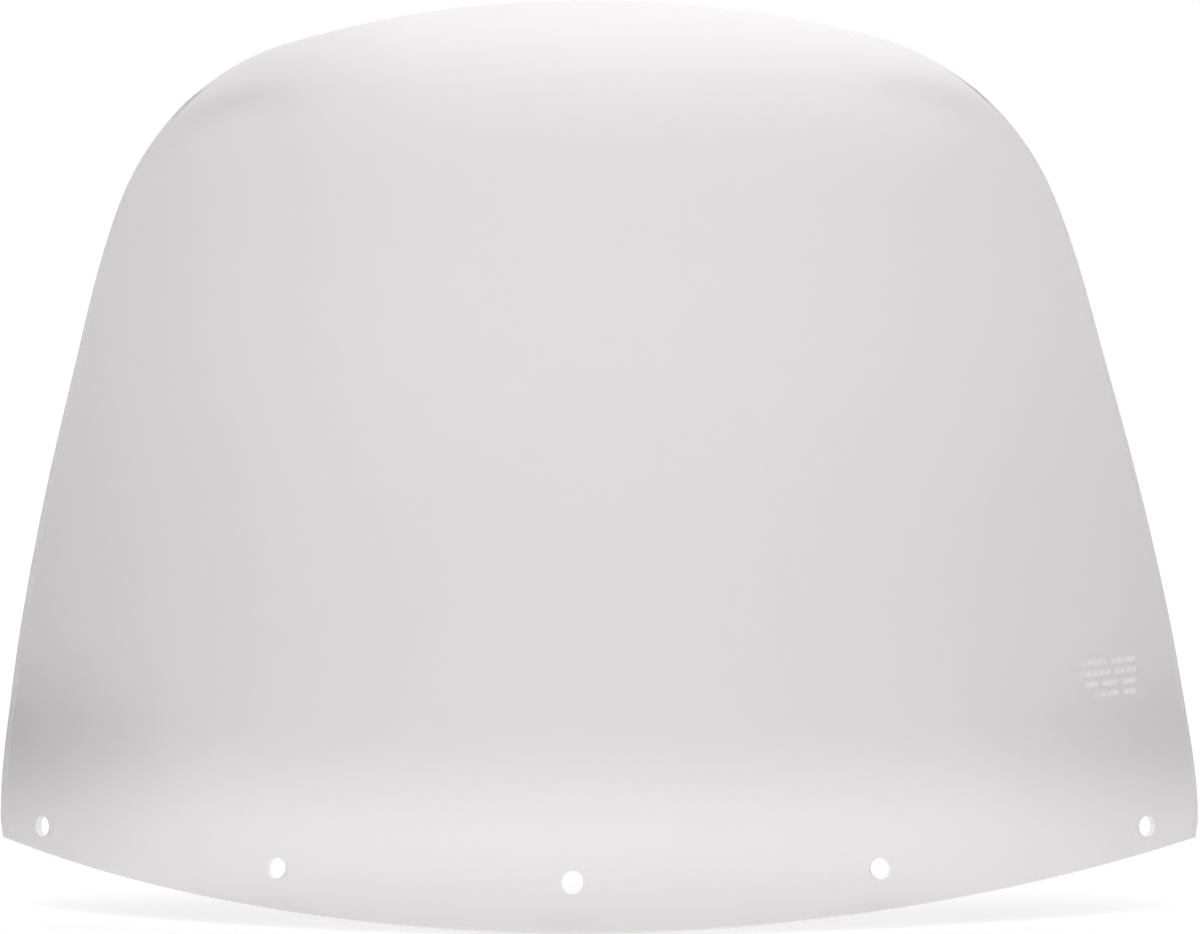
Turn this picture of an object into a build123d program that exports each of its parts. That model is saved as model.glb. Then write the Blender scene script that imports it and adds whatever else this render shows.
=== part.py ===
from build123d import *
import os
from math import radians, sin, sqrt, tan

# Clear windshield screen for a motorcycle fairing.
# One thermoformed sheet, wrapped from side to side, with a flared lip along the top
# edge, a slight forward kick along the base and five screw holes near the base edge.
# Its only other piece is the small patch of print on its road face.
# Millimetres. +X is to the right, -Y is the road side and +Z is up. The origin is the
# middle of the centre screw hole, on the road face. Heights are above the base edge.

# Sheet
SHEET_THICKNESS = 3.0
EDGE_ROUNDING = 0.6

# Outline, seen square on from the road side
HEIGHT = 369.0
CROWN_RADIUS = 515.0  # top edge
CROWN_TURN = 13.2  # degrees from the centreline to the shoulder
SHOULDER_RADIUS = 107.0  # upper corner
SHOULDER_TURN = 53.8  # degrees from the top edge to the side
SIDE_POINTS = [(214.9, 217.0), (230.4, 157.5), (243.8, 92.0)]
SIDE_FOOT = (250.7, 36.0)  # the widest place
BASE_TIP = (249.4, 28.3)
OUTLINE_STAND_OFF = 100.0  # the outline is drawn this far in front of the origin

# Wrap from side to side: the radius grows with height, and the sheet leans back
BASE_WRAP_RADIUS = 355.0
WRAP_RADIUS_GAIN = 0.375  # radius gained for each millimetre of height
LEAN = 0.0925  # set back for each millimetre of height

# Flared lip along the top edge
LIP_HEIGHT = 36.0  # on the centreline
LIP_HALF_SPAN = 183.0  # the flare runs out here
LIP_TAPER = 1.3
LIP_ANGLE = 24.0  # degrees forward at the edge

# Forward kick along the base
KICK_HEIGHT = 48.0
KICK_ANGLE = 9.0  # degrees forward at the base edge

# Screw holes, as distance from the centreline and height
HOLE_RADIUS = 4.25
CENTRE_HOLE_HEIGHT = 19.5
CENTRE_HOLE_LENGTH = 9.3  # upright slot
INNER_HOLE = (120.9, 23.0)
OUTER_HOLE = (228.6, 34.5)

# Printed patch on the road face: rows of plain bars, level with each other at the right
PRINT_THICKNESS = 0.08
PRINT_CENTRE = (212.0, 95.8)
PRINT_WIDTH = 24.3
PRINT_SLOPE = 0.07  # rise of a row for each millimetre to the right
PRINT_ROW_PITCH = 4.4
PRINT_BAR_HEIGHT = 2.2
PRINT_BAR_GAP = 2.2
PRINT_GRID = (7, 4)  # points that shape a bar, along it and up it
PRINT_ROWS = [(9.7, 10.1), (12.6, 8.5), (5.3, 5.7, 5.7), (10.1, 4.9)]

# Grid on which the road face is shaped, a little larger than the outline
FACE_HALF_WIDTH = 262.0
FACE_LOW = -14.0
FACE_HIGH = 382.0
FACE_COLUMNS = 121
FACE_ROWS = 91

shoulder_x = CROWN_RADIUS * sin(radians(CROWN_TURN))
shoulder_z = HEIGHT - CROWN_RADIUS + sqrt(CROWN_RADIUS**2 - shoulder_x**2)
shoulder_centre_x = shoulder_x * (1 - SHOULDER_RADIUS / CROWN_RADIUS)
shoulder_centre_z = shoulder_z - sqrt(SHOULDER_RADIUS**2 - (shoulder_x - shoulder_centre_x) ** 2)


def top_edge_height(x):
    """Height of the top edge, x from the centreline."""
    if abs(x) < shoulder_x:
        return HEIGHT - CROWN_RADIUS + sqrt(CROWN_RADIUS**2 - x**2)
    return shoulder_centre_z + sqrt(SHOULDER_RADIUS**2 - (abs(x) - shoulder_centre_x) ** 2)


def wrap_set_back(x, height):
    """How far back the plain wrapped and leaning sheet lies."""
    radius = BASE_WRAP_RADIUS + WRAP_RADIUS_GAIN * height
    return radius - sqrt(radius**2 - x**2) + LEAN * height


def bend_reach(past, length, slope):
    """How far a bend comes forward: a parabola over its length, then straight on."""
    if past < 0:
        return 0
    if past < length:
        return slope * past**2 / (2 * length)
    return slope * (past - length / 2)


def lip_reach(x, height):
    """How far the flared lip comes forward."""
    fade = 1 - (x / LIP_HALF_SPAN) ** 2
    if fade <= 0:
        return 0
    lip_height = LIP_HEIGHT * fade**LIP_TAPER
    past = height - top_edge_height(x) + lip_height
    return bend_reach(past, lip_height, tan(radians(LIP_ANGLE)) * sqrt(fade))


def kick_reach(height):
    """How far the base comes forward."""
    return bend_reach(KICK_HEIGHT - height, KICK_HEIGHT, tan(radians(KICK_ANGLE)))


def set_back(x, height):
    """How far back the road face lies."""
    return wrap_set_back(x, height) - lip_reach(x, height) - kick_reach(height)


def face_point(x, height):
    """A point of the road face."""
    y = set_back(x, height) - set_back(0, CENTRE_HOLE_HEIGHT)
    return Vector(x, y, height - CENTRE_HOLE_HEIGHT)


def face_plane(x, height):
    """The plane that touches the road face at a point, with its normal to the road."""
    across = face_point(x + 1, height) - face_point(x - 1, height)
    upward = face_point(x, height + 1) - face_point(x, height - 1)
    return Plane(face_point(x, height), x_dir=across, z_dir=across.cross(upward))


def spread(low, high, count):
    """Evenly spaced values from low to high."""
    return [low + (high - low) * i / (count - 1) for i in range(count)]


# The road face of the mould, before trimming
mould_face = Face.make_surface_from_array_of_points(
    [
        [face_point(x, height) for height in spread(FACE_LOW, FACE_HIGH, FACE_ROWS)]
        for x in spread(-FACE_HALF_WIDTH, FACE_HALF_WIDTH, FACE_COLUMNS)
    ],
    tol=0.02,
    min_deg=3,
)

# The outline that the router follows, in front of the face
outline_plane = Plane((0, -OUTLINE_STAND_OFF, -CENTRE_HOLE_HEIGHT), z_dir=(0, -1, 0), x_dir=(1, 0, 0))
with BuildSketch(outline_plane) as outline:
    with BuildLine():
        crown = CenterArc((0, HEIGHT - CROWN_RADIUS), CROWN_RADIUS, 90, -CROWN_TURN)
        shoulder = CenterArc(
            (shoulder_centre_x, shoulder_centre_z),
            SHOULDER_RADIUS,
            90 - CROWN_TURN,
            -SHOULDER_TURN,
        )
        side = Spline(
            shoulder @ 1,
            *SIDE_POINTS,
            SIDE_FOOT,
            tangents=(shoulder % 1, (0, -1)),
        )
        tip = Line(SIDE_FOOT, BASE_TIP)
        base = ThreePointArc(BASE_TIP, (0, 0), (-BASE_TIP[0], BASE_TIP[1]))
        mirror(crown, about=Plane.YZ)
        mirror(shoulder, about=Plane.YZ)
        mirror(side, about=Plane.YZ)
        mirror(tip, about=Plane.YZ)
    make_face()

blank = outline.sketch.face().project_to_shape(mould_face, direction=(0, 1, 0))[0]

# The screen: one sheet, its edge cut square to its faces and then rounded
with BuildPart() as screen_pane:
    thicken(blank, amount=SHEET_THICKNESS, normal_override=(0, 1, 0))
    with Locations(
        [
            face_plane(side_sign * x, height)
            for side_sign in (-1, 1)
            for x, height in (INNER_HOLE, OUTER_HOLE)
        ]
    ):
        Hole(HOLE_RADIUS)
    with BuildSketch(face_plane(0, CENTRE_HOLE_HEIGHT)):
        SlotOverall(CENTRE_HOLE_LENGTH, 2 * HOLE_RADIUS, rotation=90)
    extrude(amount=2 * SHEET_THICKNESS, both=True, mode=Mode.SUBTRACT)
    road_face, rear_face = screen_pane.faces().sort_by(SortBy.AREA)[-2:].sort_by(Axis.Y)
    fillet(road_face.outer_wire().edges() + rear_face.outer_wire().edges(), EDGE_ROUNDING)
screen_pane.part.label = "screen_pane"


def print_bar(left, right, middle):
    """A bar's patch of the road face, from its ends and middle, measured from the print's centre."""
    print_x, print_height = PRINT_CENTRE
    low, high = middle - PRINT_BAR_HEIGHT / 2, middle + PRINT_BAR_HEIGHT / 2
    return Face.make_surface_from_array_of_points(
        [
            [
                face_point(print_x + x, print_height + PRINT_SLOPE * x + z)
                for z in spread(low, high, PRINT_GRID[1])
            ]
            for x in spread(left, right, PRINT_GRID[0])
        ],
        tol=0.005,
        min_deg=3,
    )


# The printed patch: bars of ink on the road face
with BuildPart() as printed_mark:
    for row, bar_lengths in enumerate(PRINT_ROWS):
        row_middle = PRINT_ROW_PITCH * ((len(PRINT_ROWS) - 1) / 2 - row)
        bar_end = PRINT_WIDTH / 2
        for bar_length in reversed(bar_lengths):
            ink = print_bar(bar_end - bar_length, bar_end, row_middle)
            thicken(ink, amount=PRINT_THICKNESS, normal_override=(0, -1, 0))
            bar_end -= bar_length + PRINT_BAR_GAP
printed_mark.part.label = "printed_mark"

os.makedirs("parts", exist_ok=True)
export_step(screen_pane.part, "parts/screen_pane.step")
export_step(printed_mark.part, "parts/printed_mark.step")
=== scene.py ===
"""Clear windshield screen in a pale studio. Metres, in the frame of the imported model.

The screen is one sheet, made here as an even grid on the formula that the CAD model's
road face is shaped from, with a rounded rim and five holes. The print keeps its CAD shape.
"""
from math import cos, pi, radians, sin, sqrt, tan

import bpy
import numpy as np
from mathutils import Matrix, Vector


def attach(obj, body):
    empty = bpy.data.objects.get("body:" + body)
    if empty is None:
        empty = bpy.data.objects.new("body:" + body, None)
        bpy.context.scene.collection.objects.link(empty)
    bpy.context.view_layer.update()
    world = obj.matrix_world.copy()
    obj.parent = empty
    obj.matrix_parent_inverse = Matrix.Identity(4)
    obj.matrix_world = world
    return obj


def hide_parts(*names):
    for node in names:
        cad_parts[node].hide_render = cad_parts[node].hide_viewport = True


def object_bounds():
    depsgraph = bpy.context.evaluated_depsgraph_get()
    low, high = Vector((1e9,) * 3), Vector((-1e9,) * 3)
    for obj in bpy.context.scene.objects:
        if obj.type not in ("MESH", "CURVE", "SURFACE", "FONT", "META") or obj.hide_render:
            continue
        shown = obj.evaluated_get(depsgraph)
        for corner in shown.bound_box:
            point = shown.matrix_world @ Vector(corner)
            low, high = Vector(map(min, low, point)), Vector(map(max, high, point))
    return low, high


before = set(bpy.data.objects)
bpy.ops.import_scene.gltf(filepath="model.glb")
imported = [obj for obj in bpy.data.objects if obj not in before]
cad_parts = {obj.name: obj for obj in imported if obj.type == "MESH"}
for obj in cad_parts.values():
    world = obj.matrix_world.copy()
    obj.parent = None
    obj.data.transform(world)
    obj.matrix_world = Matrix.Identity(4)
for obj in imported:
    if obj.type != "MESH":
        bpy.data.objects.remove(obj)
cad_low, cad_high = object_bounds()

# The sheet and its outline, seen square on. Heights are above the base edge.
THICKNESS = 0.003
EDGE_ROUNDING = 0.0006
HEIGHT = 0.369
CROWN_RADIUS = 0.515
CROWN_TURN = radians(13.2)
SHOULDER_RADIUS = 0.107
SHOULDER_TURN = radians(53.8)
SIDE_POINTS = [(0.2149, 0.217), (0.2304, 0.1575), (0.2438, 0.092)]
SIDE_FOOT = (0.2507, 0.036)
BASE_TIP = (0.2494, 0.0283)

# The curved face: wrap, lean, flared lip and kicked base
BASE_WRAP_RADIUS = 0.355
WRAP_RADIUS_GAIN = 0.375
LEAN = 0.0925
LIP_HEIGHT = 0.036
LIP_HALF_SPAN = 0.183
LIP_TAPER = 1.3
LIP_SLOPE = tan(radians(24))
LEAST_FADE = 1e-6
LIP_END_FADE = 1e-5  # the lip has ended where its fade is less
KICK_HEIGHT = 0.048
KICK_SLOPE = tan(radians(9))

# Screw holes: distance from the centreline, height and extra height of the slot
HOLE_RADIUS = 0.00425
CENTRE_HOLE_HEIGHT = 0.0195
HOLES = [
    (0.0, CENTRE_HOLE_HEIGHT, 0.0008),
    (0.1209, 0.023, 0.0),
    (-0.1209, 0.023, 0.0),
    (0.2286, 0.0345, 0.0),
    (-0.2286, 0.0345, 0.0),
]
HOLE_SIDES = 64

# Tones: how much of the white behind the sheet shows through it, from 0 to 1, with painted light and
# shade added. They are set by sampled grey levels of the photo, and placed by position on the sheet.
SHEET_TINT = (1.0, 0.985, 0.992)
LOW_TONE = 0.685
HIGH_TONE = 0.712
LOW_TONE_TOP = 0.12
HIGH_TONE_FOOT = 0.26
# Painted reflection: the flared lip is made lighter than the rest of the sheet.
LIP_PAINTED_SHEEN = 0.075
LIP_END_GAIN = 3  # how soon the lip's tones reach full strength from its ends
# Painted shade: a soft dark line just inside the lip's crease at the shoulders.
CREASE_PAINTED_SHADE = 0.045
CREASE_WIDTH = 0.006
CREASE_START = 0.10
CREASE_FULL = 0.14
# Painted highlight: a lighter zone along the top, strongest a little right of the middle.
TOP_PAINTED_HIGHLIGHT = 0.125
TOP_HIGHLIGHT_REACH = 0.085
TOP_HIGHLIGHT_RISE = 1.5
TOP_HIGHLIGHT_MIDDLE = 0.03
TOP_HIGHLIGHT_EDGE = 0.165
TOP_HIGHLIGHT_CORE = 0.085
TOP_HIGHLIGHT_SIDE_SHARE = 0.35
TOP_HIGHLIGHT_LEAN = 2.5  # how much stronger it gets for each metre to the right
# Painted reflection on the kicked base, and painted light along the base edge.
KICK_PAINTED_SHEEN = 0.105
KICK_GLOW_TOP = 0.082
KICK_GLOW_FULL = 0.030
FOOT_PAINTED_LIGHT = 0.04
# Painted shade: the sides darker towards their edges, the left more than the right, and darker still
# at the lower corners.
LEFT_SIDE_PAINTED_SHADE = 0.165
RIGHT_SIDE_PAINTED_SHADE = 0.115
CORNER_HEIGHT = 0.062
CORNER_REACH = 0.06
CORNER_SHADE_SHARE = 0.6
CORNER_START = 0.55
# Painted shadows: a dark patch near the base edge below each hole.
HOLE_SHADOW_TONE = 0.03
HOLE_SHADOW_WIDTH = 0.013
HOLE_SHADOW_HEIGHT = 0.004
HOLE_SHADOW_DROP = 0.015  # how far below its hole a painted shadow lies
GLOSS_SHARE = 0.085
LEAST_CLEARNESS = 0.05

# Surfaces: noise scales are in the object's own coordinates, ranges are low and high
NOISE_DETAIL = 3.0
CLOUD_SCALE = 9.0
CLOUD_RANGE = (0.994, 1.006)
MIRRORED_RANGE = (0.04, 1.0)
MIRRORED_POWER = 5.0
SHEET_ROUGHNESS = 0.04
WAVE_SCALE = 14.0
WAVE_STRENGTH = 0.06
WAVE_DISTANCE = 0.001
HAZE_COLOUR = (0.75, 0.74, 0.75, 1)
HAZE_SCALE = 40.0
HAZE_SHARE = 0.05
EDGE_DARK = (0.76, 0.75, 0.76, 1)
EDGE_LIGHT = (0.9, 0.89, 0.9, 1)
EDGE_SHADE_SCALE = 60.0
EDGE_ROUGHNESS_SCALE = 250.0
EDGE_ROUGHNESS = (0.15, 0.35)
EDGE_COVER_SCALE = 35.0
EDGE_COVER = (0.5, 0.65)
PLASTIC_IOR = 1.49
INK_COLOUR = (0.9, 0.89, 0.9, 1)
INK_ROUGHNESS_SCALE = 900.0
INK_ROUGHNESS = (0.45, 0.6)
INK_COVER_SCALE = 700.0
INK_COVER = (0.06, 0.32)
WHITE = (1, 1, 1, 1)

# Studio
STUDIO_LEVEL = 0.93
WORLD_STRENGTH = 1.0
STUDIO_HALF = 9.0
SWEEP_START = 1.0
SWEEP_RADIUS = 3.0
SWEEP_STEPS = 24
FLOOR_GAP = 0.0002
CAMERA_PLACE = (0.142, -1.6442, 0.1631)
CAMERA_TURN = radians(4.52)
CAMERA_ROLL = radians(-0.38)
CAMERA_LENS = 126.0
SENSOR_WIDTH = 36
CLIP_END = 100

# Lights: name, place, aim, size and power
LIGHTS = [
    ("overhead", (0, -0.6, 2.2), (0, 0, 0.1), (2.4, 1.6), 10),
    ("backdrop_wash", (0, 0.8, 3.0), (0, 3.2, 0.6), (4.0, 1.5), 14),
]

# Mesh
ACROSS = 168
UPWARD = 120
RIM_STEPS = 3
SHOULDER_POINTS = 40
CROWN_POINTS = 60
SIDE_RUN_POINTS = 14
BASE_POINTS = 90
NORMAL_STEP = 0.0005
PLACE_ROUNDS = 3
SHARP_ANGLE = radians(40)
FACE_ALIGNMENT = 0.9  # a polygon turned further from the face's normal is a cut edge

shoulder_start = CROWN_RADIUS * sin(CROWN_TURN)
shoulder_centre_x = shoulder_start * (1 - SHOULDER_RADIUS / CROWN_RADIUS)
shoulder_centre_h = HEIGHT - CROWN_RADIUS + (CROWN_RADIUS - SHOULDER_RADIUS) * cos(CROWN_TURN)


def top_edge_height(x):
    """Height of the top edge at distances x from the centreline."""
    crown = HEIGHT - CROWN_RADIUS + np.sqrt(CROWN_RADIUS**2 - x**2)
    drop = SHOULDER_RADIUS**2 - (np.abs(x) - shoulder_centre_x) ** 2
    shoulder = shoulder_centre_h + np.sqrt(np.clip(drop, 0, None))
    return np.where(np.abs(x) < shoulder_start, crown, shoulder)


def bend_reach(past, length, slope):
    """How far a bend comes forward: a parabola over its length, then straight on."""
    past = np.clip(past, 0, None)
    return np.where(past < length, slope * past**2 / (2 * length), slope * (past - length / 2))


def lip_place(x, h):
    """How far past the lip's crease a place is, the lip's height there and its fade."""
    fade = np.clip(1 - (x / LIP_HALF_SPAN) ** 2, LEAST_FADE, None)
    lip_height = LIP_HEIGHT * fade**LIP_TAPER
    return h - top_edge_height(x) + lip_height, lip_height, fade


def set_back(x, h):
    """How far back the road face lies."""
    radius = BASE_WRAP_RADIUS + WRAP_RADIUS_GAIN * h
    wrap = radius - np.sqrt(radius**2 - x**2) + LEAN * h
    past, lip_height, fade = lip_place(x, h)
    lip = bend_reach(past, lip_height, LIP_SLOPE * np.sqrt(fade))
    lip = np.where(fade > LIP_END_FADE, lip, 0)
    return wrap - lip - bend_reach(KICK_HEIGHT - h, KICK_HEIGHT, KICK_SLOPE)


origin_set_back = set_back(np.array(0.0), CENTRE_HOLE_HEIGHT)


def face_points(x, h):
    """Points of the road face."""
    return np.stack([x, set_back(x, h) - origin_set_back, h - CENTRE_HOLE_HEIGHT], axis=-1)


def face_normals(x, h):
    """Unit normals of the road face, towards the road."""
    across = face_points(x + NORMAL_STEP, h) - face_points(x - NORMAL_STEP, h)
    upward = face_points(x, h + NORMAL_STEP) - face_points(x, h - NORMAL_STEP)
    normals = np.cross(across, upward)
    return normals / np.linalg.norm(normals, axis=-1, keepdims=True)


def resample(points, count):
    """Evenly spaced points along a polyline."""
    points = np.array(points)
    steps = np.linalg.norm(np.diff(points, axis=0), axis=1)
    along = np.concatenate([[0], np.cumsum(steps)])
    wanted = np.linspace(0, along[-1], count + 1)
    return np.stack([np.interp(wanted, along, points[:, k]) for k in (0, 1)], axis=-1)


def arc(centre, radius, start, turn, count):
    """Points on an arc, angles from +X."""
    angles = np.linspace(start, start + turn, count)
    return [(centre[0] + radius * cos(a), centre[1] + radius * sin(a)) for a in angles]


def smooth_run(points, start_slope, end_slope):
    """Points on a smooth curve through points, as distance against height."""
    x, h = np.array(points).T
    slopes = np.gradient(x, h)
    slopes[0], slopes[-1] = start_slope, end_slope
    run = []
    for k in range(len(h) - 1):
        t = np.linspace(0, 1, SIDE_RUN_POINTS, endpoint=False)
        span = h[k + 1] - h[k]
        blend = 3 * t**2 - 2 * t**3
        bulge = (t**3 - 2 * t**2 + t) * slopes[k] + (t**3 - t**2) * slopes[k + 1]
        run += list(zip(x[k] + (x[k + 1] - x[k]) * blend + span * bulge, h[k] + span * t))
    return run


def outline_sides():
    """The outline's base, right side, top and left side, as points on the flat view."""
    top_start = pi / 2 - CROWN_TURN
    centre = (shoulder_centre_x, shoulder_centre_h)
    shoulder = arc(centre, SHOULDER_RADIUS, top_start, -SHOULDER_TURN, SHOULDER_POINTS)[::-1]
    end_angle = top_start - SHOULDER_TURN
    side = smooth_run([SIDE_FOOT, *SIDE_POINTS[::-1], shoulder[0]], 0, -tan(end_angle))
    crown_centre = (0, HEIGHT - CROWN_RADIUS)
    crown = arc(crown_centre, CROWN_RADIUS, top_start, 2 * CROWN_TURN, CROWN_POINTS)
    half = len(shoulder) // 2
    right = [BASE_TIP, *side, *shoulder[: half + 1]]
    top_right = [*shoulder[half:-1], crown[0]]
    left = [(-x, h) for x, h in right]
    top = [(-x, h) for x, h in top_right] + crown[::-1][1:-1] + top_right[::-1]
    base_radius = (BASE_TIP[0] ** 2 + BASE_TIP[1] ** 2) / (2 * BASE_TIP[1])
    base = [
        (x, base_radius - sqrt(base_radius**2 - x**2))
        for x in np.linspace(-BASE_TIP[0], BASE_TIP[0], BASE_POINTS)
    ]
    return base, right, top, left


def flat_grid():
    """An even grid of places inside the outline, blended from its four sides."""
    base, right, top, left = outline_sides()
    base, top = resample(base, ACROSS), resample(top, ACROSS)
    left, right = resample(left, UPWARD), resample(right, UPWARD)
    u = np.linspace(0, 1, ACROSS + 1)[None, :, None]
    v = np.linspace(0, 1, UPWARD + 1)[:, None, None]
    ruled = (1 - v) * base[None] + v * top[None] + (1 - u) * left[:, None] + u * right[:, None]
    lower = (1 - u) * base[0] + u * base[-1]
    upper = (1 - u) * top[0] + u * top[-1]
    return ruled - (1 - v) * lower - v * upper


def rim_loop():
    """Row and column of each place round the rim, anticlockwise as the road side sees it."""
    loop = [(0, c) for c in range(ACROSS)]
    loop += [(r, ACROSS) for r in range(UPWARD)]
    loop += [(UPWARD, c) for c in range(ACROSS, 0, -1)]
    loop += [(r, 0) for r in range(UPWARD, 0, -1)]
    return loop


def sheet_mesh():
    """The sheet without its holes: road face, rear face and rounded rim."""
    grid = flat_grid()
    x, h = grid[..., 0], grid[..., 1]
    points, normals = face_points(x, h), face_normals(x, h)
    loop = rim_loop()
    rows, columns = np.array(loop).T
    edge, facing = points[rows, columns], normals[rows, columns]
    along = np.roll(edge, -1, axis=0) - np.roll(edge, 1, axis=0)
    outward = np.cross(along, facing)
    outward /= np.linalg.norm(outward, axis=1, keepdims=True)
    points[rows, columns] = edge - EDGE_ROUNDING * outward
    rear = points - THICKNESS * normals
    count = (UPWARD + 1) * (ACROSS + 1)
    verts = [points.reshape(-1, 3), rear.reshape(-1, 3)]
    turns = [pi / 2 * (k + 1) / RIM_STEPS for k in range(RIM_STEPS)]
    depths = [(EDGE_ROUNDING * (1 - cos(t)), EDGE_ROUNDING * (1 - sin(t))) for t in turns]
    depths += [(THICKNESS - depth, inset) for depth, inset in depths[::-1]]
    for depth, inset in depths:
        verts.append(edge - depth * facing - inset * outward)
    index = np.arange(count).reshape(UPWARD + 1, ACROSS + 1)
    faces = []
    for r in range(UPWARD):
        for c in range(ACROSS):
            quad = (index[r, c], index[r, c + 1], index[r + 1, c + 1], index[r + 1, c])
            faces.append([int(i) for i in quad])
            faces.append([int(i) + count for i in quad[::-1]])
    rim = len(loop)
    rings = [[int(index[r, c]) for r, c in loop]]
    rings += [[2 * count + k * rim + i for i in range(rim)] for k in range(len(depths))]
    rings.append([int(index[r, c]) + count for r, c in loop])
    for near, far in zip(rings, rings[1:]):
        for i in range(rim):
            j = (i + 1) % rim
            faces.append([near[j], near[i], far[i], far[j]])
    mesh = bpy.data.meshes.new("screen_sheet")
    mesh.from_pydata(np.concatenate(verts).tolist(), [], faces)
    mesh.validate()
    return mesh


def hole_cutter(x, h, stretch):
    """A prism through the sheet, square to it: a circle, or an upright slot."""
    place = np.array(x), np.array(h)
    middle = Vector(face_points(*place)) - Vector(face_normals(*place)) * THICKNESS / 2
    out = Vector(face_normals(*place))
    right = Vector((0, 0, 1)).cross(-out).normalized() * -1
    up = right.cross(out) * -1
    ring = []
    for k in range(HOLE_SIDES):
        a = 2 * pi * (k + 0.5) / HOLE_SIDES
        rise = HOLE_RADIUS * sin(a) + stretch / 2 * (1 if sin(a) > 0 else -1)
        ring.append(middle + right * HOLE_RADIUS * cos(a) + up * rise)
    reach = out * THICKNESS * 2
    verts = [p + reach for p in ring] + [p - reach for p in ring]
    faces = [list(range(HOLE_SIDES)), list(range(2 * HOLE_SIDES - 1, HOLE_SIDES - 1, -1))]
    for i in range(HOLE_SIDES):
        j = (i + 1) % HOLE_SIDES
        faces.append([j, i, i + HOLE_SIDES, j + HOLE_SIDES])
    return verts, faces


def cut_holes(sheet):
    """Drills the five holes."""
    verts, faces = [], []
    for hole in HOLES:
        more_verts, more_faces = hole_cutter(*hole)
        faces += [[i + len(verts) for i in face] for face in more_faces]
        verts += more_verts
    mesh = bpy.data.meshes.new("hole_cutters")
    mesh.from_pydata(verts, [], faces)
    cutters = bpy.data.objects.new("hole_cutters", mesh)
    bpy.context.scene.collection.objects.link(cutters)
    drill = sheet.modifiers.new("holes", "BOOLEAN")
    drill.operation = "DIFFERENCE"
    drill.solver = "EXACT"
    drill.object = cutters
    graph = bpy.context.evaluated_depsgraph_get()
    drilled = bpy.data.meshes.new_from_object(sheet.evaluated_get(graph))
    sheet.modifiers.clear()
    sheet.data = drilled
    bpy.data.objects.remove(cutters)


def face_places(positions):
    """Distance and height of the road-face places that positions on the sheet belong to."""
    x, h = positions[:, 0], positions[:, 2] + CENTRE_HOLE_HEIGHT
    for _ in range(PLACE_ROUNDS):
        behind = face_points(x, h)[:, 1] - positions[:, 1]
        normals = face_normals(x, h)
        depth = np.clip(behind * normals[:, 1], 0, THICKNESS)
        x = positions[:, 0] + depth * normals[:, 0]
        h = positions[:, 2] + CENTRE_HOLE_HEIGHT + depth * normals[:, 2]
    return x, h


def ramp(value, low, high):
    """0 at low and 1 at high, with a smooth way between. low may be the larger."""
    t = np.clip((value - low) / (high - low), 0, 1)
    return t * t * (3 - 2 * t)


def clearness_and_painted_light(x, h):
    """The share of light that one face of the sheet lets through at a place.

    The paler lip, top and kick and the darker sides, lower corners, crease and patches below the
    holes follow the photo. They are tones placed by position: painted reflections and highlights,
    painted shade and painted shadows, not a known thickness.
    """
    past, lip_height, fade = lip_place(x, h)
    shown = LOW_TONE + (HIGH_TONE - LOW_TONE) * ramp(h, LOW_TONE_TOP, HIGH_TONE_FOOT)
    strength = np.clip(fade * LIP_END_GAIN, 0, 1)
    # Painted reflection: lighter towards the lip's edge.
    shown += LIP_PAINTED_SHEEN * np.clip(past / lip_height, 0, 1) * strength
    # Painted shade inside the crease, at the shoulders only.
    shoulder = ramp(np.abs(x), CREASE_START, CREASE_FULL) * strength
    shown -= CREASE_PAINTED_SHADE * shoulder * np.exp(-(((past + CREASE_WIDTH / 2) / CREASE_WIDTH) ** 2))
    # Painted highlight along the top edge, stronger towards the right.
    top_highlight = ramp(h, HEIGHT - TOP_HIGHLIGHT_REACH, HEIGHT) ** TOP_HIGHLIGHT_RISE
    middle = ramp(np.abs(x - TOP_HIGHLIGHT_MIDDLE), TOP_HIGHLIGHT_EDGE, TOP_HIGHLIGHT_CORE)
    spread = TOP_HIGHLIGHT_SIDE_SHARE + (1 - TOP_HIGHLIGHT_SIDE_SHARE) * middle
    shown += TOP_PAINTED_HIGHLIGHT * top_highlight * spread * (1 + TOP_HIGHLIGHT_LEAN * x)
    # Painted reflection on the kick and painted light at the foot.
    kick = ramp(h, KICK_GLOW_TOP, KICK_GLOW_FULL)
    shown += KICK_PAINTED_SHEEN * kick + FOOT_PAINTED_LIGHT * ramp(h, KICK_GLOW_FULL, 0)
    # Painted shade on the sides and lower corners.
    aside = np.abs(x) / SIDE_FOOT[0]
    side_shade = np.where(x < 0, LEFT_SIDE_PAINTED_SHADE, RIGHT_SIDE_PAINTED_SHADE)
    corner = ramp(np.abs(h - CORNER_HEIGHT), CORNER_REACH, 0) * ramp(aside, CORNER_START, 1)
    shown -= side_shade * (aside**2 + CORNER_SHADE_SHARE * corner)
    # Painted shadow below each hole.
    for hole_x, hole_height, _ in HOLES:
        below = (h - hole_height + HOLE_SHADOW_DROP) / HOLE_SHADOW_HEIGHT
        away = ((x - hole_x) / HOLE_SHADOW_WIDTH) ** 2 + below**2
        shown -= HOLE_SHADOW_TONE * np.exp(-away)
    return np.sqrt(np.clip((shown - GLOSS_SHARE) / (1 - GLOSS_SHARE), LEAST_CLEARNESS, 1))


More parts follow.
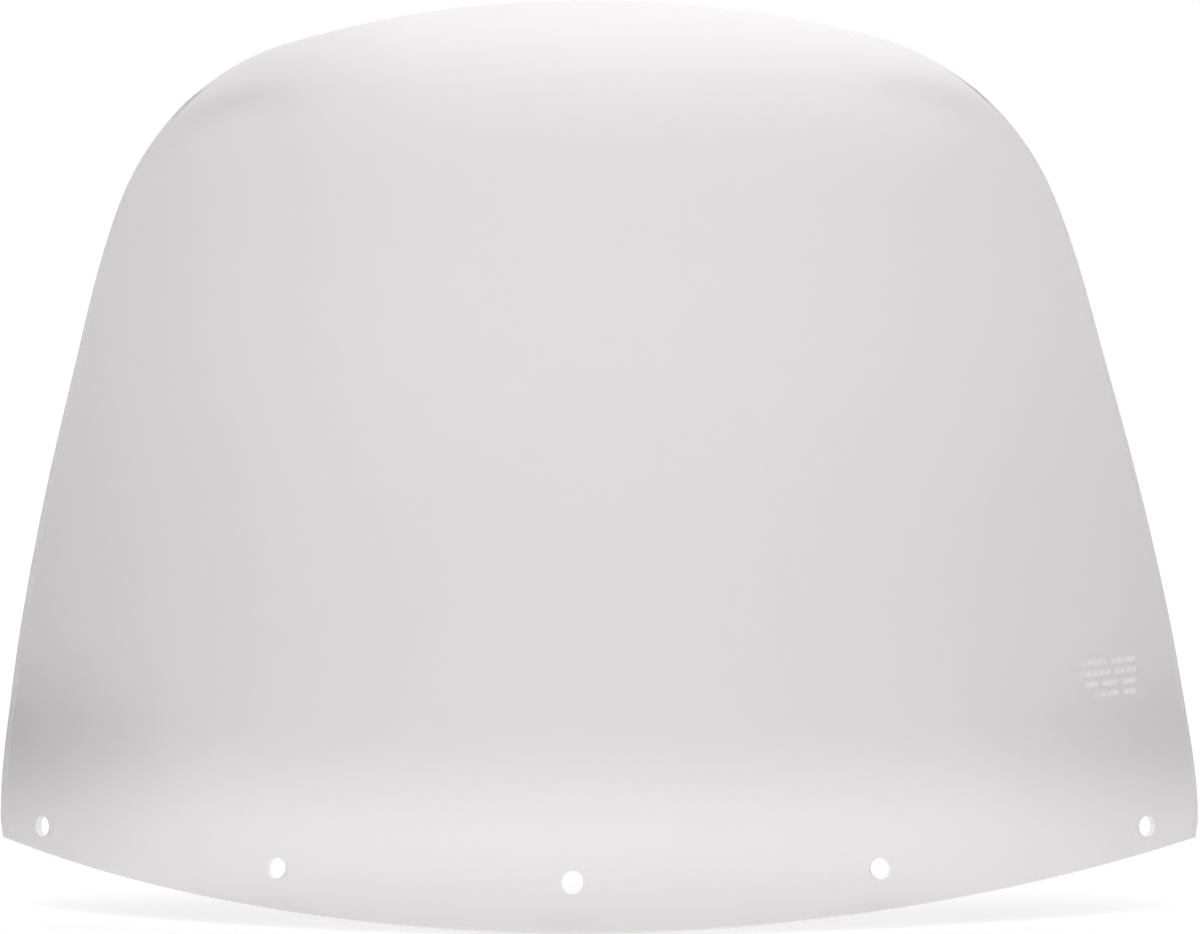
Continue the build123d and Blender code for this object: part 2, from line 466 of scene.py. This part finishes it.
def finish_sheet(sheet):
    """Exact normals on the two faces, slots for the cut edges, and the tint with its painted light
    and shade at each place.
    """
    mesh = sheet.data
    mesh.set_sharp_from_angle(angle=SHARP_ANGLE)
    mesh.polygons.foreach_set("use_smooth", [True] * len(mesh.polygons))
    positions = np.empty(len(mesh.vertices) * 3)
    mesh.vertices.foreach_get("co", positions)
    positions = positions.reshape(-1, 3)
    x, h = face_places(positions)
    normals = face_normals(x, h)
    # The attribute holds the see-through share with painted light and shade added to it.
    tint_and_painted_light = mesh.attributes.new("clearness_and_painted_light", "FLOAT", "POINT")
    tint_and_painted_light.data.foreach_set("value", clearness_and_painted_light(x, h))
    loop_normals = np.zeros((len(mesh.loops), 3))
    for polygon in mesh.polygons:
        first = mesh.loops[polygon.loop_start].vertex_index
        facing = float(np.dot(normals[first], polygon.normal))
        if abs(facing) < FACE_ALIGNMENT:
            polygon.material_index = 1
            continue
        for loop in polygon.loop_indices:
            loop_normals[loop] = np.sign(facing) * normals[mesh.loops[loop].vertex_index]
    mesh.normals_split_custom_set(loop_normals.tolist())


def new_material(name):
    """A material with its own shader nodes, and its tree and output."""
    material = bpy.data.materials.new(name)
    material.use_nodes = True
    tree = material.node_tree
    tree.nodes.clear()
    return material, tree, tree.nodes.new("ShaderNodeOutputMaterial")


def noise(tree, scale):
    """Noise that follows the object's own coordinates."""
    place = tree.nodes.new("ShaderNodeTexCoord")
    texture = tree.nodes.new("ShaderNodeTexNoise")
    texture.inputs["Scale"].default_value = scale
    texture.inputs["Detail"].default_value = NOISE_DETAIL
    tree.links.new(place.outputs["Object"], texture.inputs["Vector"])
    return texture.outputs["Fac"]


def remap(tree, value, low, high):
    """A value from 0 to 1, remapped to low to high."""
    node = tree.nodes.new("ShaderNodeMapRange")
    node.inputs["To Min"].default_value = low
    node.inputs["To Max"].default_value = high
    tree.links.new(value, node.inputs["Value"])
    return node.outputs["Result"]


def bumped(tree, height, strength, distance):
    """A normal from a height."""
    node = tree.nodes.new("ShaderNodeBump")
    node.inputs["Strength"].default_value = strength
    node.inputs["Distance"].default_value = distance
    tree.links.new(height, node.inputs["Height"])
    return node.outputs["Normal"]


def mirrored_share(tree):
    """How much a polished plastic face mirrors, the same from both of its sides."""
    slant = tree.nodes.new("ShaderNodeLayerWeight")
    steep = tree.nodes.new("ShaderNodeMath")
    steep.operation = "POWER"
    steep.inputs[1].default_value = MIRRORED_POWER
    tree.links.new(slant.outputs["Facing"], steep.inputs[0])
    return remap(tree, steep.outputs[0], *MIRRORED_RANGE)


def clear_sheet():
    """Polished clear plastic: tinted, with painted light and shade by place, a fine waviness and a
    trace of haze.
    """
    material, tree, output = new_material("clear_sheet")
    # The tint carries painted light and shade, placed by position on the sheet.
    tint_and_painted_light = tree.nodes.new("ShaderNodeAttribute")
    tint_and_painted_light.attribute_name = "clearness_and_painted_light"
    cloud = remap(tree, noise(tree, CLOUD_SCALE), *CLOUD_RANGE)
    level = tree.nodes.new("ShaderNodeMath")
    level.operation = "MULTIPLY"
    tree.links.new(tint_and_painted_light.outputs["Fac"], level.inputs[0])
    tree.links.new(cloud, level.inputs[1])
    tint = tree.nodes.new("ShaderNodeVectorMath")
    tint.operation = "SCALE"
    tint.inputs[0].default_value = SHEET_TINT
    tree.links.new(level.outputs[0], tint.inputs["Scale"])
    clear = tree.nodes.new("ShaderNodeBsdfTransparent")
    tree.links.new(tint.outputs[0], clear.inputs["Color"])
    gloss = tree.nodes.new("ShaderNodeBsdfGlossy")
    gloss.inputs["Color"].default_value = WHITE
    gloss.inputs["Roughness"].default_value = SHEET_ROUGHNESS
    wave = bumped(tree, noise(tree, WAVE_SCALE), WAVE_STRENGTH, WAVE_DISTANCE)
    tree.links.new(wave, gloss.inputs["Normal"])
    haze = tree.nodes.new("ShaderNodeBsdfDiffuse")
    haze.inputs["Color"].default_value = HAZE_COLOUR
    hazy = tree.nodes.new("ShaderNodeMixShader")
    haze_share = remap(tree, noise(tree, HAZE_SCALE), 0.0, HAZE_SHARE)
    tree.links.new(haze_share, hazy.inputs["Fac"])
    tree.links.new(clear.outputs[0], hazy.inputs[1])
    tree.links.new(haze.outputs[0], hazy.inputs[2])
    surface = tree.nodes.new("ShaderNodeMixShader")
    tree.links.new(mirrored_share(tree), surface.inputs["Fac"])
    tree.links.new(hazy.outputs[0], surface.inputs[1])
    tree.links.new(gloss.outputs[0], surface.inputs[2])
    tree.links.new(surface.outputs[0], output.inputs["Surface"])
    return material


def cut_edge():
    """The cut edge: brighter and less clear than the faces."""
    material, tree, output = new_material("cut_edge")
    body = tree.nodes.new("ShaderNodeBsdfPrincipled")
    shade = tree.nodes.new("ShaderNodeMix")
    shade.data_type = "RGBA"
    shade.inputs["A"].default_value = EDGE_DARK
    shade.inputs["B"].default_value = EDGE_LIGHT
    tree.links.new(noise(tree, EDGE_SHADE_SCALE), shade.inputs["Factor"])
    tree.links.new(shade.outputs["Result"], body.inputs["Base Color"])
    roughness = remap(tree, noise(tree, EDGE_ROUGHNESS_SCALE), *EDGE_ROUGHNESS)
    tree.links.new(roughness, body.inputs["Roughness"])
    cover = remap(tree, noise(tree, EDGE_COVER_SCALE), *EDGE_COVER)
    tree.links.new(cover, body.inputs["Alpha"])
    body.inputs["IOR"].default_value = PLASTIC_IOR
    tree.links.new(body.outputs[0], output.inputs["Surface"])
    return material


def white_ink():
    """Thin whitish print, a little patchy, through which the sheet shows."""
    material, tree, output = new_material("white_ink")
    ink = tree.nodes.new("ShaderNodeBsdfPrincipled")
    ink.inputs["Base Color"].default_value = INK_COLOUR
    roughness = remap(tree, noise(tree, INK_ROUGHNESS_SCALE), *INK_ROUGHNESS)
    tree.links.new(roughness, ink.inputs["Roughness"])
    cover = remap(tree, noise(tree, INK_COVER_SCALE), *INK_COVER)
    tree.links.new(cover, ink.inputs["Alpha"])
    tree.links.new(ink.outputs[0], output.inputs["Surface"])
    return material


def studio_white(name, level):
    """Plain matt studio surface."""
    material, tree, output = new_material(name)
    paint = tree.nodes.new("ShaderNodeBsdfDiffuse")
    paint.inputs["Color"].default_value = (level, level, level, 1)
    tree.links.new(paint.outputs[0], output.inputs["Surface"])
    return material


def add_backdrop():
    """A pale floor under the base edge, swept up into a wall far behind."""
    level = cad_low[2] - FLOOR_GAP
    line = [(-STUDIO_HALF, level), (SWEEP_START, level)]
    for k in range(1, SWEEP_STEPS + 1):
        turn = pi / 2 * k / SWEEP_STEPS
        line.append((SWEEP_START + SWEEP_RADIUS * sin(turn), level + SWEEP_RADIUS * (1 - cos(turn))))
    line.append((SWEEP_START + SWEEP_RADIUS, level + STUDIO_HALF))
    verts = [(side * STUDIO_HALF, y, z) for y, z in line for side in (-1, 1)]
    faces = [(2 * k, 2 * k + 1, 2 * k + 3, 2 * k + 2) for k in range(len(line) - 1)]
    mesh = bpy.data.meshes.new("backdrop")
    mesh.from_pydata(verts, [], faces)
    mesh.polygons.foreach_set("use_smooth", [True] * len(faces))
    mesh.materials.append(studio_white("studio_white", STUDIO_LEVEL))
    backdrop = bpy.data.objects.new("backdrop", mesh)
    bpy.context.scene.collection.objects.link(backdrop)


def add_light(name, place, aim, size, power):
    """A soft rectangular light."""
    lamp = bpy.data.lights.new(name, "AREA")
    lamp.shape = "RECTANGLE"
    lamp.size, lamp.size_y = size
    lamp.energy = power
    light = bpy.data.objects.new(name, lamp)
    light.location = place
    direction = Vector(aim) - Vector(place)
    light.rotation_euler = direction.to_track_quat("-Z", "Y").to_euler()
    light.visible_glossy = False
    bpy.context.scene.collection.objects.link(light)


def add_camera():
    """The camera, a little right of square and level with the sheet's middle."""
    lens = bpy.data.cameras.new("camera")
    lens.sensor_width = SENSOR_WIDTH
    lens.lens = CAMERA_LENS
    lens.clip_end = CLIP_END
    camera = bpy.data.objects.new("camera", lens)
    look = Vector((-sin(CAMERA_TURN), cos(CAMERA_TURN), 0))
    turn = look.to_track_quat("-Z", "Y").to_matrix() @ Matrix.Rotation(CAMERA_ROLL, 3, "Z")
    camera.location = CAMERA_PLACE
    camera.rotation_euler = turn.to_euler()
    bpy.context.scene.collection.objects.link(camera)
    bpy.context.scene.camera = camera


sheet = bpy.data.objects.new("clear_screen", sheet_mesh())
bpy.context.scene.collection.objects.link(sheet)
cut_holes(sheet)
sheet.data.materials.clear()
sheet.data.materials.append(clear_sheet())
sheet.data.materials.append(cut_edge())
finish_sheet(sheet)
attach(sheet, "root")
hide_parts("screen_pane")

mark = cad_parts["printed_mark"]
mark.data.materials.clear()
mark.data.materials.append(white_ink())

add_backdrop()
for light_settings in LIGHTS:
    add_light(*light_settings)
add_camera()

scene = bpy.context.scene
world = bpy.data.worlds.new("studio")
world.use_nodes = True
world.node_tree.nodes["Background"].inputs["Color"].default_value = WHITE
world.node_tree.nodes["Background"].inputs["Strength"].default_value = WORLD_STRENGTH
scene.world = world
scene.view_settings.view_transform = "Standard"
